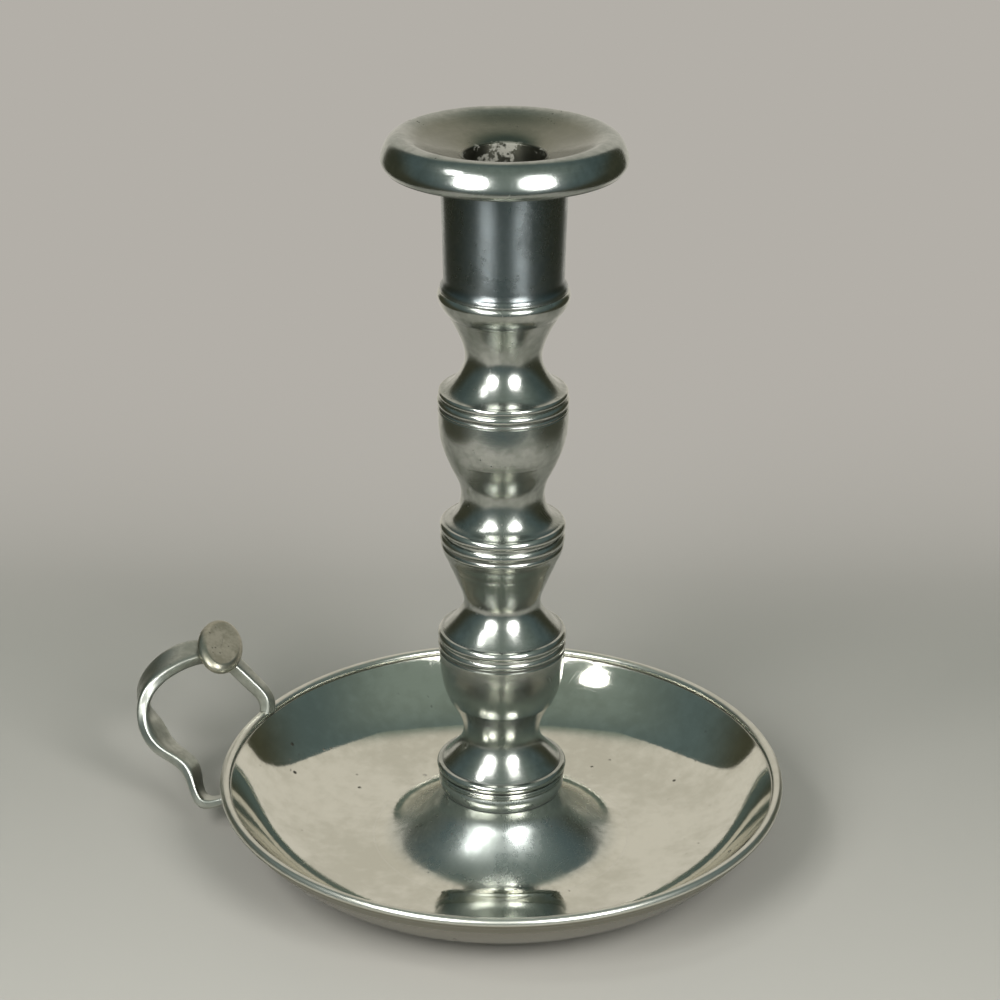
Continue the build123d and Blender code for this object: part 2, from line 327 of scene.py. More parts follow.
# %% [markdown]
# ## The foot
# The foot is a hollow trumpet, cast and then turned. Its wall flares out of a
# bead, grows flatter and runs out thin on the floor of the dish. In the polish
# no edge shows where it ends, so its last stretch nearly follows the floor.

# %% Turn the foot
foot_seam = 22.9
skirt_gap = 0.01
flare = (-0.5, 0.87)
foot_outline = joined(
    line((skirt_radius - skirt_gap, foot_seat)),
    flow(
        [
            (skirt_radius - skirt_gap, 2.3), (33.0, 3.0), (29.0, 4.55), (26.0, 6.3),
            (23.0, 8.7), (20.6, 11.1), (18.8, 13.4),
        ],
        12, (-1, 0.06), flare,
    ),
    flow([(18.8, 13.4), (17.8, 15.8), (17.4, 18.2)], 10, flare),
    line((17.05, 18.35), (17.1, 18.5)),
    bead((17.3, 18.6), (18.25, 21.3), (17.9, 22.55)),
    line((17.5, 22.7), (17.5, foot_seam), (15.0, foot_seam), (14.7, 15.0), (15.6, 11.4)),
    line((17.9, 8.0), (21.4, 5.2), (25.5, 3.5), (29.0, foot_seat)),
)
turned("foot_skin", foot_outline, "foot", "candlestick")

# %% [markdown]
# ## The four castings of the stem
# Four castings stand on the foot. Each has a bead at its lower edge, an ogee
# that draws in to a neck, a bell that swells again, and a bead at its crown.
# The two beads on either side of a seam read as one moulding with a dark line
# in it. They look alike but no two are the same, so each has its own outline,
# with heights above its own seam. The tie rod runs through their hollows, which
# narrow at the neck as the outside does.

# %% Turn the lowest casting
base_height = 44.0
base_neck = (11.1, 14.5)
bore_at_crown = 15.0
bore_at_foot = 13.1
upright = (0, 1)
leaning_in = (-0.8, 0.6)
base_outline = joined(
    line((17.5, 0.0), (17.6, 0.2)),
    bead((17.9, 0.3), (18.4, 0.65), (18.0, 1.0), 8),
    bead((18.0, 1.0), (18.5, 1.45), (18.1, 1.85), 8),
    line((18.1, 1.85), (17.8, 1.95), (17.9, 2.1)),
    bead((17.95, 2.1), (18.85, 3.3), (17.75, 4.6)),
    line((17.75, 4.6), (17.3, 4.65)),
    flow([(17.3, 4.65), (16.2, 5.6), (14.4, 7.5), (12.0, 10.8), base_neck], 10, leaning_in, upright),
    flow([base_neck, (12.2, 19.5), (14.3, 23.5), (15.05, 24.7)], 10, upright),
    line((15.05, 24.7), (15.2, 24.85)),
    flow([(15.2, 24.85), (16.3, 27.5), (17.6, 33.5), (18.2, 40.8)], 12),
    line((18.2, 40.8), (17.8, 41.1), (17.8, 41.6)),
    bead((18.0, 41.85), (18.45, 43.0), (17.95, 43.85)),
    line((17.8, 43.9), (17.8, base_height), (bore_at_crown, base_height), (9.3, 14.5)),
    line((bore_at_foot, 0.0)),
)
turned("shaft_base_skin", base_outline, "shaft_base", "candlestick", foot_seam)

# %% [markdown]
# The second casting is the shortest of the lower three. Its bell carries a
# thin ring and a full bead at the crown.

# %% Turn the second casting
lower_height = 33.85
lower_neck = (10.95, 12.0)
base_seam = foot_seam + base_height
lower_outline = joined(
    line((17.8, 0.0), (17.8, 0.35)),
    bead((17.8, 0.4), (18.5, 1.7), (17.6, 3.1)),
    line((17.6, 3.1), (17.1, 3.15)),
    flow([(17.1, 3.15), (14.6, 5.5), (12.2, 8.5), lower_neck], 10, leaning_in, upright),
    flow([lower_neck, (11.7, 15.5), (13.3, 19.5), (14.75, 23.1)], 10, upright),
    line((14.75, 23.1), (15.0, 23.4)),
    flow([(15.0, 23.4), (15.8, 25.5), (16.8, 27.7), (17.2, 29.0)], 8),
    bead((17.2, 29.0), (17.4, 29.6), (17.2, 30.2), 8),
    line((17.1, 30.4), (17.2, 31.0)),
    bead((17.25, 31.0), (17.75, 32.3), (17.3, 33.4)),
    line((16.8, 33.5), (16.8, lower_height), (bore_at_crown, lower_height), (9.1, 12.0)),
    line((bore_at_foot, 0.0)),
)
turned("shaft_lower_skin", lower_outline, "shaft_lower", "candlestick", base_seam)

# %% [markdown]
# The third casting has the widest neck and a full, round bell.

# %% Turn the third casting
middle_height = 40.7
middle_neck = (11.85, 11.65)
lower_seam = base_seam + lower_height
middle_outline = joined(
    line((16.8, 0.0), (16.8, 0.45)),
    bead((17.1, 0.6), (17.85, 1.75), (16.95, 3.15)),
    line((16.95, 3.15), (16.5, 3.2)),
    flow([(16.5, 3.2), (14.5, 4.35), (12.5, 7.55), middle_neck], 10, leaning_in, upright),
    flow([middle_neck, (12.6, 15.65), (14.5, 19.65), (16.2, 23.65)], 12, upright),
    flow([(16.25, 23.75), (16.9, 25.65), (17.9, 30.15), (18.2, 36.85)], 12),
    line((18.2, 36.85), (17.95, 37.05)),
    bead((17.95, 37.15), (18.2, 37.55), (18.0, 37.95), 8),
    line((17.85, 38.15), (17.85, 38.45)),
    bead((17.9, 38.55), (18.4, 39.65), (17.9, 40.55)),
    line((17.6, 40.6), (17.6, middle_height), (bore_at_crown, middle_height), (10.0, 11.65)),
    line((bore_at_foot, 0.0)),
)
turned("shaft_middle_skin", middle_outline, "shaft_middle", "candlestick", lower_seam)

# %% [markdown]
# The top casting opens like a small trumpet towards the cup that it carries.

# %% Turn the top casting
upper_height = 30.95
upper_neck = (10.7, 11.45)
middle_seam = lower_seam + middle_height
upper_outline = joined(
    line((17.6, 0.0), (17.6, 0.3)),
    bead((17.6, 0.35), (18.05, 1.25), (17.25, 2.05)),
    line((17.25, 2.05), (16.9, 2.1)),
    flow([(16.9, 2.1), (13.5, 4.95), (11.5, 8.05), upper_neck], 10, (-0.9, 0.4), upright),
    flow([upper_neck, (11.2, 14.95), (12.7, 18.95), (14.75, 22.85)], 12, upright),
    line((14.75, 22.85), (15.0, 23.25), (15.35, 24.05)),
    flow([(15.35, 24.05), (16.3, 25.15), (17.6, 27.15), (18.15, 28.75)], 10),
    bead((18.15, 28.75), (18.2, 29.85), (17.6, 30.8)),
    line((17.5, 30.85), (17.5, upper_height), (bore_at_crown, upper_height), (8.9, 11.45)),
    line((bore_at_foot, 0.0)),
)
turned("shaft_upper_skin", upper_outline, "shaft_upper", "candlestick", middle_seam)

# %% [markdown]
# ## The cup
# The cup is a plain, slightly flared cylinder on a small ring. It is hollow
# down to its floor, where the tie rod ends, and its mouth narrows to a guide
# that the sleeve of the nozzle slips into.

# %% Turn the cup
cup_height = 35.6
cup_seam = middle_seam + upper_height
cup_guide = 12.42
cup_hollow = 15.0
cup_ledge = 27.6
cup_floor = 6.0
rod_passage = 2.6
cup_outline = joined(
    line((17.5, 0.0), (17.55, 0.2)),
    bead((17.5, 0.3), (17.45, 1.0), (17.0, 1.7), 10),
    flow([(17.0, 1.7), (16.7, 2.3), (16.6, 4.0)], 6),
    line((16.6, 4.0), (16.75, 12.0), (16.96, 20.0), (17.2, 28.0), (17.4, 35.0)),
    bead((17.4, 35.0), (17.28, 35.45), (17.0, cup_height), 6),
    line((cup_guide, cup_height), (cup_guide, cup_ledge), (cup_hollow, cup_ledge)),
    line((cup_hollow, cup_floor), (rod_passage, cup_floor), (rod_passage, 3.5)),
    line((14.9, 3.5), (14.9, 0.0)),
)
turned("cup_skin", cup_outline, "candle_cup", "candlestick", cup_seam)

# %% [markdown]
# ## The nozzle
# The nozzle is the part that lifts off to be cleaned. A shallow funnel leads
# the candle into the socket, its edge is rolled over into a soft lip, and a
# sleeve under it slips into the cup. It rides on a body of its own, which can
# slide up, so it is the one turned piece that isn't part of the fixed stick.

# %% Turn the nozzle
cup_top = cup_seam + cup_height
socket_radius = 11.1
sleeve_radius = 12.35
sleeve_end = -21.95
nozzle_seat = 0.05
crest = (27.8, 7.7)
under_lip = (-0.8, -1)
nozzle_outline = joined(
    line((sleeve_radius, nozzle_seat), (sleeve_radius, sleeve_end)),
    line((socket_radius, sleeve_end), (socket_radius, 1.6)),
    flow([(socket_radius, 1.6), (11.5, 2.0), (19.5, 5.0), (25.0, 7.0), crest], 14, (0.1, 1), level),
    flow([crest, (30.7, 6.6), (32.6, 3.6), (33.05, 0.2), (32.0, -1.4)], 14, level, under_lip),
    line((32.0, -1.4), (31.2, -1.2)),
    flow([(31.2, -1.2), (31.0, 2.0), (28.4, 5.4), (25.4, 5.2), (16.6, 1.8)], 10),
    line((16.6, nozzle_seat), (sleeve_radius, nozzle_seat)),
)
turned("nozzle_skin", nozzle_outline, "nozzle", "nozzle_body", cup_top)

# %% [markdown]
# ## The finger loop
# The loop is a flat strap, cast straight and then bent by hand: it leaves the
# top of the rim narrow and thick, widens as it curls over, and tucks back
# under the dish. A curve with a bevel can grow and twist, but its width and its
# thickness can't change apart from each other, and here they do. So the strap
# has stations, each with its own place, direction across, width and thickness,
# and it flows through them.

# %% Stations of the strap
stations = [
    # place, across, width, thickness
    ((-71.9, 36.5, 22.2), (0.45, 0.89, 0.0), 4.8, 3.6),
    ((-72.1, 37.6, 25.6), (0.3, 0.95, 0.05), 4.6, 3.9),
    ((-76.7, 39.5, 31.2), (0.1, 0.97, 0.15), 5.0, 4.1),
    ((-85.9, 40.9, 39.6), (-0.12, 0.92, 0.36), 6.7, 4.1),
    ((-100.8, 33.6, 40.6), (-0.58, 0.81, 0.01), 9.7, 4.0),
    ((-108.0, 26.2, 32.4), (-0.2, 0.86, -0.45), 10.3, 4.0),
    ((-106.4, 22.9, 26.7), (0.38, 0.82, -0.45), 9.7, 3.9),
    ((-101.2, 16.9, 20.9), (0.58, 0.76, -0.3), 8.7, 3.7),
    ((-92.8, 10.9, 16.5), (0.42, 0.85, -0.3), 7.1, 3.4),
    ((-88.7, 5.8, 8.7), (0.15, 0.95, -0.25), 6.8, 3.2),
    ((-79.5, 6.9, 9.9), (0.2, 0.9, -0.3), 5.9, 2.8),
    ((-74.3, 7.4, 11.2), (0.25, 0.9, -0.3), 5.4, 2.6),
]
print("the strap has", len(stations), "stations")

# %% [markdown]
# The section of the strap is a rectangle with soft edges. A superellipse gives
# it with one number for how square it is, and as it has the same count of
# points at every station, the points can be strung together along the strap.
# A skin over such rings, with a flat face at either end, also serves the thumb
# rest, so it is a helper of its own.

# %% Rings and the skin over them
ring_steps = 48
squareness = 5.0


def strap_ring(width, thick):
    # A flat section with soft edges, as one closed run of points
    ring = []
    for k in range(ring_steps):
        angle = 2 * math.pi * k / ring_steps
        c, s = math.cos(angle), math.sin(angle)
        reach = (abs(c) ** squareness + abs(s) ** squareness) ** (-1 / squareness)
        ring.append((width / 2 * reach * c, thick / 2 * reach * s))
    return ring


def skin(rings):
    # Corners and faces over rings with the same count of points, closed at both ends
    count = len(rings[0])
    corners = [point for ring in rings for point in ring]
    faces = []
    for k in range(len(rings) - 1):
        for i in range(count):
            j = (i + 1) % count
            faces.append((k * count + i, k * count + j, (k + 1) * count + j, (k + 1) * count + i))
    faces.append(tuple(reversed(range(count))))
    faces.append(tuple(range((len(rings) - 1) * count, len(rings) * count)))
    return corners, faces


reaches = [round(max(side), 2) for side in zip(*strap_ring(10, 4))]
print("a ring 10 by 4 reaches", reaches, "from its middle")

# %% [markdown]
# Now the strap is bent. At each station its heading is the way from the
# station behind to the one ahead, and the direction across is set square to
# it, so that the section is never skewed.

# %% Bend the strap
cast_crease = 50
strap_rings = []
for k, (place, across, width, thick) in enumerate(stations):
    here = Vector(place)
    ahead = Vector(stations[min(k + 1, len(stations) - 1)][0])
    behind = Vector(stations[max(k - 1, 0)][0])
    heading = (ahead - behind).normalized()
    across = Vector(across)
    across = (across - heading * across.dot(heading)).normalized()
    up = heading.cross(across)
    strap_rings.append([tuple((here + across * a + up * b) * mm) for a, b in strap_ring(width, thick)])
strands = [flow([ring[i] for ring in strap_rings], 12) for i in range(ring_steps)]
corners, faces = skin(list(zip(*strands)))
mesh_piece(
    "finger_strap", corners, faces, "finger_loop", "candlestick", cast_crease
)

# %% [markdown]
# ## The thumb rest
# On the rising arm of the loop sits an oval button, cast by itself and soldered
# on, which the thumb presses while a finger is through the loop. It faces up
# and leans towards the stem. Its side is rounded and its top sinks slightly, as
# thumbs have left it. It is made of ovals that shrink by the same amount all
# round, so that the rounding is as wide at the ends as at the long sides.

# %% Press the thumb rest
thumb_seat = Vector((-86.9, 40.4, 41.3))
thumb_facing = Vector((0.46, -0.27, 0.85)).normalized()
long_way = Vector((0.12, 0.92, 0.36))
long_way = (long_way - thumb_facing * long_way.dot(thumb_facing)).normalized()
short_way = thumb_facing.cross(long_way)
half_long = 11.0
half_short = 7.2
button_height = 4.0
profile_reach = 9.0
least_half_long = 0.4
least_half_short = 0.3
button_steps = 96
profile_shares = joined(
    line((0.75, 0.0)),
    bead((0.8, 0.0), (1.0, 0.5), (0.8, 1.0), 18),
    flow([(0.8, 1.0), (0.5, 0.985), (0.0, 0.97)], 6),
)
button_rings = []
for out_share, up_share in profile_shares[:-1]:
    inset = (out_share - 1.0) * profile_reach
    oval = []
    for k in range(button_steps):
        angle = 2 * math.pi * k / button_steps
        a = max(half_long + inset, least_half_long) * math.cos(angle)
        b = max(half_short + inset, least_half_short) * math.sin(angle)
        lift = thumb_facing * up_share * button_height
        oval.append(tuple((thumb_seat + long_way * a + short_way * b + lift) * mm))
    button_rings.append(oval)
corners, faces = skin(button_rings)
mesh_piece("thumb_button", corners, faces, "thumb_rest", "candlestick", cast_crease)

# %% [markdown]
# ## The finish
# Old pewter that is wiped now and then has a finish in layers: fine rings from
# the lathe, cloudy tarnish, brighter metal where hands rub the crests, hairline
# scratches and a few pits. Shade is also painted dark into the grooves. Each of
# these is one node group, so the dish, the stem and the strap can share it and
# take more or less of it. The first helpers only shorten the node writing.


# %% Node helpers
def feed(tree, node, inputs):
    # A socket given for an input is linked, and a plain value is set
    for key, value in inputs.items():
        if isinstance(value, bpy.types.NodeSocket):
            tree.links.new(value, node.inputs[key])
        else:
            node.inputs[key].default_value = value
    return node


def add(tree, kind, inputs, **options):
    # A new node with its options and inputs
    node = tree.nodes.new(kind)
    for key, value in options.items():
        setattr(node, key, value)
    return feed(tree, node, inputs)


def work_out(tree, operation, *values):
    # The result of a sum
    node = add(tree, "ShaderNodeMath", dict(enumerate(values)), operation=operation)
    return node.outputs[0]


def fade(tree, value, low, high):
    # A soft step: the value from low to high becomes 0 to 1
    inputs = {"Value": value, "From Min": low, "From Max": high}
    node = add(tree, "ShaderNodeMapRange", inputs, interpolation_type="SMOOTHSTEP")
    return node.outputs["Result"]


def blend(tree, share, first, second):
    # The first colour, with a share of the second over it
    node = add(tree, "ShaderNodeMix", {0: share, 6: first, 7: second}, data_type="RGBA")
    return node.outputs[2]


def noise(tree, inputs, **options):
    # A cloudy pattern between 0 and 1
    return add(tree, "ShaderNodeTexNoise", inputs, **options).outputs[0]


def split(tree, vector):
    # The three numbers of a vector
    return add(tree, "ShaderNodeSeparateXYZ", {0: vector}).outputs


node_helpers = (feed, add, work_out, fade, blend, noise, split)
print("node helpers:", [helper.__name__ for helper in node_helpers])

# %% [markdown]
# A group is made once, with its inputs and outputs named, and then put into
# every material that wants its effect, each time with values of its own.


# %% Group helpers
def new_group(name, inputs, outputs):
    # A group with named sockets; an input without a value is a vector
    made = bpy.data.node_groups.new(name, "ShaderNodeTree")
    for label, value in inputs.items():
        kind = "NodeSocketVector" if value is None else "NodeSocketFloat"
        socket = made.interface.new_socket(name=label, in_out="INPUT", socket_type=kind)
        if value is not None:
            socket.default_value = value
    for label in outputs:
        made.interface.new_socket(name=label, in_out="OUTPUT", socket_type="NodeSocketFloat")
    enter = made.nodes.new("NodeGroupInput").outputs
    leave = made.nodes.new("NodeGroupOutput")
    return made, enter, leave


def use(tree, group, inputs):
    # The outputs of a group that is put into a tree
    node = tree.nodes.new("ShaderNodeGroup")
    node.node_tree = group
    return feed(tree, node, inputs).outputs


print("group helpers:", [helper.__name__ for helper in (new_group, use)])

# %% [markdown]
# Lathe rings need the distance from the axis and the height, and nothing that
# changes on the way round. A noise that is read at only those two numbers is
# the same all round the piece, so it comes out as rings on every slope.

# %% Lathe rings
mm_per_metre = 1000.0
lathe_rings, given, leave = new_group(
    "lathe_rings", {"Vector": None, "Rings per mm": 1.6}, ["Rings", "Radius"]
)
parts = split(lathe_rings, given["Vector"])
x_squared = work_out(lathe_rings, "MULTIPLY", parts["X"], parts["X"])
y_squared = work_out(lathe_rings, "MULTIPLY", parts["Y"], parts["Y"])
from_axis = work_out(lathe_rings, "SQRT", work_out(lathe_rings, "ADD", x_squared, y_squared))
radius_mm = work_out(lathe_rings, "MULTIPLY", from_axis, mm_per_metre)
rise_mm = work_out(lathe_rings, "MULTIPLY", parts["Z"], mm_per_metre)
spot = add(lathe_rings, "ShaderNodeCombineXYZ", {"X": radius_mm, "Y": rise_mm}).outputs[0]
rings_noise = noise(
    lathe_rings,
    {"Vector": spot, "Scale": given["Rings per mm"], "Detail": 4.0, "Roughness": 0.65},
    noise_dimensions="2D",
)
feed(lathe_rings, leave, {"Rings": rings_noise, "Radius": radius_mm})
print("group", lathe_rings.name, "with", len(lathe_rings.nodes), "nodes")

# %% [markdown]
# Tarnish is cloudy at two scales. Wide clouds say where the metal is dull and
# where it is clean, and finer ones break their edges, so that no cloud has a
# smooth outline. The mask is 1 where the metal is clean.

# %% Clouds of tarnish
tarnish, given, leave = new_group(
    "tarnish_clouds", {"Vector": None, "Clouds per m": 60.0}, ["Cloud"]
)
finer = 7.0
wide_share = 0.65
fine_share = 0.35
cloud_start = 0.38
cloud_full = 0.62
wide = noise(
    tarnish,
    {"Vector": given["Vector"], "Scale": given["Clouds per m"], "Detail": 5.0, "Distortion": 0.4},
)
finer_scale = work_out(tarnish, "MULTIPLY", given["Clouds per m"], finer)
fine = noise(tarnish, {"Vector": given["Vector"], "Scale": finer_scale, "Detail": 4.0})
wide_part = work_out(tarnish, "MULTIPLY", wide, wide_share)
both = work_out(tarnish, "MULTIPLY_ADD", fine, fine_share, wide_part)
feed(tarnish, leave, {"Cloud": fade(tarnish, both, cloud_start, cloud_full)})
print("group", tarnish.name, "with", len(tarnish.nodes), "nodes")

# %% [markdown]
# Scratches are a noise that is squeezed across and drawn out along, and only
# its crests are kept. A wide, weak noise bends them. Turned two ways and laid
# over each other, the lines look like the swirls that a polishing cloth leaves.

# %% Hairline scratches
scratches, given, leave = new_group(
    "hairline_scratches",
    {"Vector": None, "Turn": 0.0, "Lines per mm": 3.0, "Length in mm": 25.0},
    ["Lines"],
)
bends_per_metre = 30.0
bend_width = 0.02
line_start = 0.6
line_full = 0.7
turned_space = add(
    scratches, "ShaderNodeVectorRotate",
    {"Vector": given["Vector"], "Angle": given["Turn"]},
    rotation_type="Z_AXIS",
).outputs[0]
warp = noise(scratches, {"Vector": turned_space, "Scale": bends_per_metre, "Detail": 1.0})
parts = split(scratches, turned_space)
along_scale = work_out(scratches, "DIVIDE", mm_per_metre, given["Length in mm"])
across_scale = work_out(scratches, "MULTIPLY", given["Lines per mm"], mm_per_metre)
bent = work_out(scratches, "MULTIPLY_ADD", warp, bend_width, parts["Y"])
squeezed = add(
    scratches, "ShaderNodeCombineXYZ",
    {
        "X": work_out(scratches, "MULTIPLY", parts["X"], along_scale),
        "Y": work_out(scratches, "MULTIPLY", bent, across_scale),
        "Z": work_out(scratches, "MULTIPLY", parts["Z"], along_scale),
    },
).outputs[0]
lines_noise = noise(scratches, {"Vector": squeezed, "Scale": 1.0, "Detail": 2.0})
feed(scratches, leave, {"Lines": fade(scratches, lines_noise, line_start, line_full)})
print("group", scratches.name, "with", len(scratches.nodes), "nodes")

# %% [markdown]
# Shade is painted dark into the hollows, and wear bares the crests. Both come
# from the number that each turned piece carries for how deep its outline lies,
# and a cloud makes them patchy; the wear is patchy because no hand wipes a
# piece evenly.

# %% Painted shade in the grooves and wear on the crests
groove_shade_and_wear, given, leave = new_group("groove_shade_and_wear", {"Cloud": 0.5}, ["Groove shade", "Wear"])
shallow = 0.05
deep = 0.8
depth = add(groove_shade_and_wear, "ShaderNodeAttribute", {}, attribute_name="groove").outputs["Fac"]
patchy = work_out(groove_shade_and_wear, "MULTIPLY_ADD", given["Cloud"], 0.5, 0.5)
# Painted shade: the hollows of the outline are darkened
shade_in_grooves = work_out(groove_shade_and_wear, "MULTIPLY", fade(groove_shade_and_wear, depth, shallow, deep), patchy)
wear = work_out(groove_shade_and_wear, "MULTIPLY", fade(groove_shade_and_wear, depth, -shallow, -deep), patchy)
feed(groove_shade_and_wear, leave, {"Groove shade": shade_in_grooves, "Wear": wear})
print("group", groove_shade_and_wear.name, "with", len(groove_shade_and_wear.nodes), "nodes")

# %% [markdown]
# Cast pewter has small pits where air was caught, and they hold dirt as dark
# specks. The cells of a Voronoi pattern place them, and a noise leaves most
# of them out.

# %% Casting pits
casting_pits, given, leave = new_group(
    "casting_pits", {"Vector": None, "Pits per mm": 0.5}, ["Pits"]
)
groups_per_metre = 120.0
pit_edge = 0.2
pit_middle = 0.1
chosen_start = 0.58
chosen_full = 0.66
cells_scale = work_out(casting_pits, "MULTIPLY", given["Pits per mm"], mm_per_metre)
cell = add(
    casting_pits, "ShaderNodeTexVoronoi", {"Vector": given["Vector"], "Scale": cells_scale}
).outputs["Distance"]
spread_noise = noise(casting_pits, {"Vector": given["Vector"], "Scale": groups_per_metre})
hole = fade(casting_pits, cell, pit_edge, pit_middle)
chosen = fade(casting_pits, spread_noise, chosen_start, chosen_full)
feed(casting_pits, leave, {"Pits": work_out(casting_pits, "MULTIPLY", hole, chosen)})
print("group", casting_pits.name, "with", len(casting_pits.nodes), "nodes")

# %% [markdown]
# The layers bring the same few colours into every finish, and each changes the
# roughness and the relief by a set amount. The shade painted into the grooves
# and the dirt in the pits are dull and bare metal bright, and a scratch or a pit
# lies a little under the surface.

# %% Colours and strengths of the layers
ring_shade = (0.20, 0.20, 0.17, 1)
bare_metal = (0.76, 0.75, 0.69, 1)
# Colour of the shade painted into the grooves
painted_groove_shade = (0.045, 0.045, 0.03, 1)
pit_dirt = (0.05, 0.045, 0.035, 1)
ring_shade_share = 0.5
bare_share = 0.45
swirls = ({"Turn": 0.7}, {"Turn": 2.3, "Length in mm": 16.0})
tarnished_dullness = 1.2
clean_dullness = -0.4
shaded_groove_dullness = 0.25
line_dullness = 0.06
pit_dullness = 0.4
cloud_rise = 0.6
line_rise = -0.1
pit_rise = -0.8
relief_depth = 0.000012
print("the relief is", round(relief_depth / mm, 4), "mm deep")

# %% [markdown]
# One recipe makes every pewter finish of the object. It is a metal all over,
# and the layers only shift its colour, its roughness and a very shallow bump.
# Turned metal is smoother round the axis than across the rings, so its
# highlights are drawn out up and down the piece, and the tangent round the
# axis with some anisotropy gives that.

# %% Pewter recipe
quarter_turn = 0.25


def pewter(
    name, deep, bright, rough, clouds,
    rings=0.0, lines=0.0, pits=0.0, groove_shading=0.8, drawn=0.0, pit_rate=0.5,
):
    # Deep is the colour of tarnished metal and bright that of clean metal. Rings, lines, pits
    # and painted groove shade say how much of each layer there is, and drawn says how far highlights
    # run out
    made = bpy.data.materials.new(name)
    made.use_nodes = True
    tree = made.node_tree
    shader = tree.nodes["Principled BSDF"]
    where = add(tree, "ShaderNodeTexCoord", {}).outputs["Object"]
    cloud = use(tree, tarnish, {"Vector": where, "Clouds per m": clouds})["Cloud"]
    turn = use(tree, lathe_rings, {"Vector": where})
    grooves = use(tree, groove_shade_and_wear, {"Cloud": cloud})
    first, second = [use(tree, scratches, {"Vector": where, **swirl})["Lines"] for swirl in swirls]
    hairlines = work_out(tree, "MAXIMUM", first, second)
    pitted = use(tree, casting_pits, {"Vector": where, "Pits per mm": pit_rate})["Pits"]

    color = blend(tree, cloud, (*deep, 1), (*bright, 1))
    ringed = work_out(tree, "MULTIPLY", turn["Rings"], rings * ring_shade_share)
    color = blend(tree, ringed, color, ring_shade)
    worn = work_out(tree, "MULTIPLY", grooves["Wear"], bare_share)
    color = blend(tree, worn, color, bare_metal)
    # Painted shade: the grooves are darkened in the colour
    groove_shade_share = work_out(tree, "MULTIPLY", grooves["Groove shade"], groove_shading)
    color = blend(tree, groove_shade_share, color, painted_groove_shade)
    specks = work_out(tree, "MULTIPLY", pitted, pits)
    color = blend(tree, specks, color, pit_dirt)

    dull = work_out(
        tree, "MULTIPLY_ADD", cloud, clean_dullness * rough, tarnished_dullness * rough
    )
    dull = work_out(tree, "MULTIPLY_ADD", grooves["Groove shade"], shaded_groove_dullness, dull)
    dull = work_out(tree, "MULTIPLY_ADD", hairlines, line_dullness * lines, dull)
    dull = work_out(tree, "MULTIPLY_ADD", specks, pit_dullness, dull)

    height = work_out(tree, "MULTIPLY", turn["Rings"], rings)
    height = work_out(tree, "MULTIPLY_ADD", cloud, cloud_rise, height)
    height = work_out(tree, "MULTIPLY_ADD", hairlines, line_rise * lines, height)
    height = work_out(tree, "MULTIPLY_ADD", specks, pit_rise, height)
    relief = add(
        tree, "ShaderNodeBump", {"Height": height, "Strength": 1.0, "Distance": relief_depth}
    )

    feed(tree, shader, {"Base Color": color, "Roughness": dull, "Normal": relief.outputs[0]})
    shader.inputs["Metallic"].default_value = 1.0
    if drawn:
        round_axis = add(tree, "ShaderNodeTangent", {}, direction_type="RADIAL", axis="Z")
        tree.links.new(round_axis.outputs[0], shader.inputs["Tangent"])
        shader.inputs["Anisotropic"].default_value = drawn
        shader.inputs["Anisotropic Rotation"].default_value = quarter_turn
    print("finish", name, "with", len(tree.nodes), "nodes")
    return made, tree, shader, color, dull


print("groups in the recipe:", [group.name for group in bpy.data.node_groups])

# %% [markdown]
# Five finishes need nothing but the recipe. The stem is half bright. The cup
# is handled least and polished least, so it is the darkest, and its highlights
# run from top to bottom. The strap and the button are cast and filed, not
# turned, so they have no lathe rings, and they are duller and more scratched.
# The tie rod with its washer and nut is plain drawn steel.

# %% Finishes of the stem, the cup, the strap, the button and the rod
stem_metal = pewter(
    "stem_pewter", (0.41, 0.43, 0.39), (0.59, 0.60, 0.57), rough=0.21, clouds=70.0,
    rings=0.5, lines=0.4, pits=0.4, drawn=0.5,
)[0]
cup_metal = pewter(
    "cup_pewter", (0.22, 0.25, 0.26), (0.33, 0.36, 0.37), rough=0.28, clouds=60.0,
    rings=0.5, lines=0.4, pits=0.15, drawn=0.85,
)[0]
strap_metal = pewter(
    "strap_pewter", (0.39, 0.40, 0.35), (0.53, 0.54, 0.49), rough=0.38, clouds=90.0,
    lines=0.7, pits=0.7,
)[0]
thumb_metal = pewter(
    "thumb_pewter", (0.40, 0.38, 0.30), (0.52, 0.50, 0.42), rough=0.36, clouds=140.0,
    lines=0.8, pits=0.6,
)[0]
rod_metal = pewter(
    "rod_steel", (0.30, 0.29, 0.27), (0.45, 0.44, 0.43), rough=0.34, clouds=120.0,
    rings=0.6, lines=0.3, pits=0.4,
)[0]

# %% [markdown]
# The dish is polished nearly to a mirror, but its rim is what hands, cloths
# and shelves touch. The roll of the rim is scuffed to a satin, so lamps spread
# on it into one broad bright line. Under the rim, where the surface faces down,
# shade is painted into the colour: the metal there is darker, and also duller.
# The lathe rings already know how far a spot is from the axis, so they say
# where the rim begins.


# %% Dish finish with a satin rim
def distance_from_axis(tree):
    # The place on the piece, and its distance from the stem axis in millimetres
    where = add(tree, "ShaderNodeTexCoord", {}).outputs["Object"]
    return where, use(tree, lathe_rings, {"Vector": where})["Radius"]


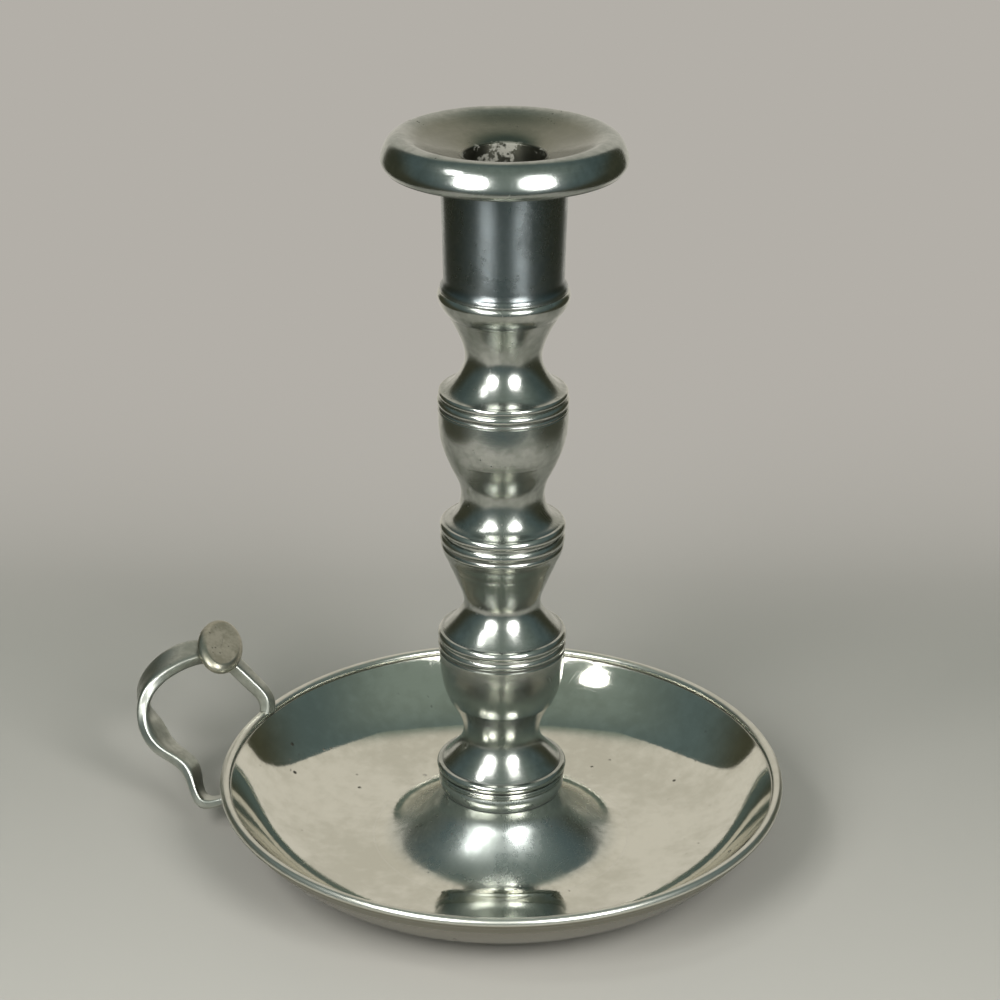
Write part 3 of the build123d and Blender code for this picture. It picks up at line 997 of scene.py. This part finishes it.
dish_deep = (0.66, 0.65, 0.57)
dish_bright = (0.79, 0.78, 0.70)
dish_clouds = 35.0
dish_metal, tree, shader, color, dull = pewter(
    "dish_pewter", dish_deep, dish_bright, rough=0.065, clouds=dish_clouds,
    rings=0.12, lines=0.5, pits=0.9, groove_shading=0.6, pit_rate=0.22,
)
scuffed_from = dish_radius - 2.6 * rim_bead
scuffed_full = dish_radius - 1.6 * rim_bead
satin = 0.24
painted_underside_shade = (0.27, 0.26, 0.21, 1)
underside_dullness = 0.15
shade_starts_at = 0.1
facing_down = -0.25
where, radius = distance_from_axis(tree)
scuffed = fade(tree, radius, scuffed_from, scuffed_full)
facing = add(tree, "ShaderNodeNewGeometry", {}).outputs["Normal"]
# Painted shade: surfaces that face down are darkened
underside_shade_mask = fade(tree, split(tree, facing)["Z"], shade_starts_at, facing_down)
dull = work_out(tree, "MULTIPLY_ADD", scuffed, satin, dull)
feed(tree, shader, {
    "Base Color": blend(tree, underside_shade_mask, color, painted_underside_shade),
    "Roughness": work_out(tree, "MULTIPLY_ADD", underside_shade_mask, underside_dullness, dull),
})
print("the rim is scuffed from", scuffed_from, "mm from the axis")

# %% [markdown]
# The nozzle holds the candle, so a little pale wax has stayed round its hole
# and in it. The funnel and the inside of the hole are painted darker, as shade.
# The wax isn't metal: where it lies, the same shader turns to a matt, warm white.

# %% Nozzle finish with wax
nozzle_metal, tree, shader, color, dull = pewter(
    "nozzle_pewter", (0.42, 0.45, 0.42), (0.60, 0.62, 0.59), rough=0.19, clouds=80.0,
    rings=0.6, lines=0.4, pits=0.6, drawn=0.4,
)
painted_funnel_shade = (0.20, 0.20, 0.15, 1)
funnel_darkening_share = 0.85
funnel_darkening_edge = 29.0
funnel_darkening_full = 22.0
painted_socket_shade = (0.09, 0.09, 0.07, 1)
wax_white = (0.34, 0.33, 0.28, 1)
wax_dullness = 0.35
wax_clouds = 160.0
wax_outside = socket_radius + 1.2
wax_inside = socket_radius - 0.3
wax_start = 0.6
wax_full = 0.95
wax_cover = 0.8
dark_edge = socket_radius + 0.6
dark_full = socket_radius + 0.1
where, radius = distance_from_axis(tree)
near = fade(tree, radius, wax_outside, wax_inside)
patch = use(tree, tarnish, {"Vector": where, "Clouds per m": wax_clouds})["Cloud"]
wax = work_out(tree, "MULTIPLY", near, fade(tree, patch, wax_start, wax_full))
# Painted shade: the funnel is darkened towards the hole
funnel_darkened = work_out(tree, "MULTIPLY", fade(tree, radius, funnel_darkening_edge, funnel_darkening_full), funnel_darkening_share)
color = blend(tree, funnel_darkened, color, painted_funnel_shade)
# Painted shade: the inside of the hole is darkened
socket_shade_mask = fade(tree, radius, dark_edge, dark_full)
color = blend(tree, socket_shade_mask, color, painted_socket_shade)
feed(tree, shader, {
    "Base Color": blend(tree, wax, color, wax_white),
    "Roughness": work_out(tree, "MULTIPLY_ADD", wax, wax_dullness, dull),
    "Metallic": work_out(tree, "SUBTRACT", 1.0, work_out(tree, "MULTIPLY", wax, wax_cover)),
})
print("the smoke on the funnel ends", funnel_darkening_edge, "mm from the axis")

# %% [markdown]
# The foot starts as stem and ends as dish: towards its edge it is wiped and
# polished together with the floor of the dish, and the eye finds no seam.

# %% Foot finish, from stem to dish
foot_metal, tree, shader, color, dull = pewter(
    "foot_pewter", (0.38, 0.41, 0.38), (0.54, 0.57, 0.55), rough=0.31, clouds=70.0,
    rings=0.3, lines=0.5, pits=0.8,
)
polished_from = 27.0
polished_full = 36.5
polish = -0.24
where, radius = distance_from_axis(tree)
polished = fade(tree, radius, polished_from, polished_full)
cloud = use(tree, tarnish, {"Vector": where, "Clouds per m": dish_clouds})["Cloud"]
dish_color = blend(tree, cloud, (*dish_deep, 1), (*dish_bright, 1))
feed(tree, shader, {
    "Base Color": blend(tree, polished, color, dish_color),
    "Roughness": work_out(tree, "MULTIPLY_ADD", polished, polish, dull),
})
print("the foot turns to dish from", polished_from, "to", polished_full, "mm from the axis")

# %% [markdown]
# Every piece gets its finish, and so do the solids of the frame, because the
# rod, the washer and the nut are shown by their solids alone. What has no
# finish of its own is a casting of the stem.

# %% Give every piece and every solid its finish
finish_of = {
    "dish": dish_metal,
    "foot": foot_metal,
    "candle_cup": cup_metal,
    "finger_loop": strap_metal,
    "thumb_rest": thumb_metal,
    "nozzle": nozzle_metal,
    "tie_rod": rod_metal,
    "washer": rod_metal,
    "nut": rod_metal,
}
for node, piece in pieces.items():
    piece.data.materials.clear()
    piece.data.materials.append(finish_of.get(node, stem_metal))
for node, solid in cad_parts.items():
    finish = finish_of.get(node, stem_metal)
    for slot in solid.material_slots:
        slot.material = finish
    if not solid.material_slots:
        solid.data.materials.append(finish)
print("finished", len(pieces), "pieces and", len(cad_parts), "solids")

# %% [markdown]
# ## The set
# Polished metal shows what is round it more than itself. A pale sweep of paper
# lies under the object and curls up behind it, narrow enough that the sides of
# the stem look past it into the dark.

# %% Paper sweep
sweep_half = 0.25
sweep_front = -0.24
sweep_bend = 0.18
bend_radius = 0.15
bend_steps = 12
sweep_height = 0.75
sweep_side = [(sweep_front, 0.0), (sweep_bend, 0.0)]
for k in range(1, bend_steps + 1):
    angle = math.radians(90 * k / bend_steps)
    sweep_side.append(
        (sweep_bend + bend_radius * math.sin(angle), bend_radius * (1 - math.cos(angle)))
    )
sweep_side.append((sweep_bend + bend_radius, sweep_height))
corners = [(x, y, z) for y, z in sweep_side for x in (-sweep_half, sweep_half)]
faces = [(2 * k, 2 * k + 1, 2 * k + 3, 2 * k + 2) for k in range(len(sweep_side) - 1)]
mesh = bpy.data.meshes.new("paper_sweep")
mesh.from_pydata(corners, [], faces)
mesh.shade_smooth()
floor = bpy.data.objects.new("paper_sweep", mesh)
bpy.context.scene.collection.objects.link(floor)
print("the sweep is", 2 * sweep_half, "m wide and", sweep_height, "m high")

# %% [markdown]
# Near the object the paper is plain and takes the shadows. Its far part shows
# its colour as it is written, to the camera and to reflections, so that the
# background is even without more light on the object. Reflections see it
# brighter than the camera does, and it fades to the colour of the surroundings
# at its top, so that no hard edge of paper shows in the metal.

# %% Paper
paper_color = (0.46, 0.44, 0.40, 1)
far_color = (0.451, 0.429, 0.392, 1)
mirrored_low = (0.66, 0.63, 0.56, 1)
mirrored_high = (0.24, 0.28, 0.24, 1)
far_from = 0.10
far_full = 0.30
rise_full = 0.08
fades_from = 0.45
fades_full = 0.73
paper = bpy.data.materials.new("paper")
paper.use_nodes = True
tree = paper.node_tree
shader = tree.nodes["Principled BSDF"]
shader.inputs["Base Color"].default_value = paper_color
shader.inputs["Roughness"].default_value = 0.9
shader.inputs["Specular IOR Level"].default_value = 0.1
path = add(tree, "ShaderNodeLightPath", {}).outputs
parts = split(tree, add(tree, "ShaderNodeNewGeometry", {}).outputs["Position"])
back = fade(tree, parts["Y"], far_from, far_full)
risen = fade(tree, parts["Z"], 0.0, rise_full)
far = work_out(tree, "MAXIMUM", back, risen)
seen = work_out(tree, "MAXIMUM", path["Is Camera Ray"], path["Is Glossy Ray"])
share = work_out(tree, "MULTIPLY", far, seen)
high = fade(tree, parts["Z"], fades_from, fades_full)
mirrored = blend(tree, high, mirrored_low, mirrored_high)
seen_color = blend(tree, path["Is Glossy Ray"], far_color, mirrored)
glow = add(tree, "ShaderNodeEmission", {"Color": seen_color, "Strength": 1.0})
mixed = add(tree, "ShaderNodeMixShader", {0: share, 1: shader.outputs[0], 2: glow.outputs[0]})
tree.links.new(mixed.outputs[0], tree.nodes["Material Output"].inputs["Surface"])
mesh.materials.append(paper)
print("the paper has", len(tree.nodes), "nodes")

# %% [markdown]
# Beyond the sweep it is dark: a little cool light comes from the front and
# above, and almost none from behind and below. The grade follows one direction,
# which points forward and up.

# %% Dark surroundings
behind_color = (0.06, 0.062, 0.04, 1)
side_color = (0.10, 0.14, 0.14, 1)
front_color = (0.21, 0.26, 0.23, 1)
forward_share = -0.6
upward_share = 0.8
behind_full = -0.2
side_full = 0.3
front_full = 0.9
world = bpy.data.worlds.new("surroundings")
bpy.context.scene.world = world
world.use_nodes = True
tree = world.node_tree
parts = split(tree, add(tree, "ShaderNodeTexCoord", {}).outputs["Generated"])
forward = work_out(tree, "MULTIPLY", parts["Y"], forward_share)
front_up = work_out(tree, "MULTIPLY_ADD", parts["Z"], upward_share, forward)
to_side = fade(tree, front_up, behind_full, side_full)
to_front = fade(tree, front_up, side_full, front_full)
dark_color = blend(tree, to_side, behind_color, side_color)
dark_color = blend(tree, to_front, dark_color, front_color)
tree.links.new(dark_color, tree.nodes["Background"].inputs["Color"])
print("the surroundings have", len(tree.nodes), "nodes")

# %% [markdown]
# Two big soft lamps stand left and right of the camera, and they make the
# twin highlights down the stem. A small one further round to the left makes
# the lone highlights on that side. Each is an ellipse, because its outline
# shows in the polish, and each is aimed at the middle of the stem.

# %% Lamps
lamp_aside = 0.27
lamp_front = -0.45
lamp_height = 0.395
soft_size = (0.28, 0.35)
soft_watts = 2.5
side_place = (-0.38, -0.26, 0.60)
side_size = (0.12, 0.12)
side_watts = 0.5
stem_middle = (0, 0, 0.1)


def lamp(name, place, size, power):
    # An elliptical lamp that looks at the middle of the stem
    data = bpy.data.lights.new(name, "AREA")
    data.shape = "ELLIPSE"
    data.size, data.size_y = size
    data.energy = power
    thing = bpy.data.objects.new(name, data)
    thing.location = place
    aim = (Vector(stem_middle) - Vector(place)).to_track_quat("-Z", "Y")
    thing.rotation_euler = aim.to_euler()
    bpy.context.scene.collection.objects.link(thing)


lamp("lamp_left", (-lamp_aside, lamp_front, lamp_height), soft_size, soft_watts)
lamp("lamp_right", (lamp_aside, lamp_front, lamp_height), soft_size, soft_watts)
lamp("lamp_side", side_place, side_size, side_watts)

# %% [markdown]
# ## The camera
# The camera stands in front of the object, looks down on it from above its top,
# and has a long lens. Its place, its tilt and its lens were worked out from the
# ovals of the rim and the beads in the photograph: the rounder an oval is, the
# more the camera looks down on it. The standard view shows colours as they are
# written.

# %% Camera at the photo's angle
camera_place = (-0.000785, -0.67573, 0.40343)
camera_lens = 94.31
film_width = 36
looks_down = math.radians(23.496)
leans = math.radians(0.278)
camera_data = bpy.data.cameras.new("camera")
camera_data.lens = camera_lens
camera_data.sensor_width = film_width
camera = bpy.data.objects.new("camera", camera_data)
bpy.context.scene.collection.objects.link(camera)
camera.location = camera_place
tilt = Matrix.Rotation(math.radians(90) - looks_down, 3, "X")
lean = Matrix.Rotation(leans, 3, "Z")
camera.rotation_euler = (tilt @ lean).to_euler()
bpy.context.scene.camera = camera
bpy.context.scene.view_settings.view_transform = "Standard"
print("camera with a lens of", camera_lens, "mm at", camera_place)
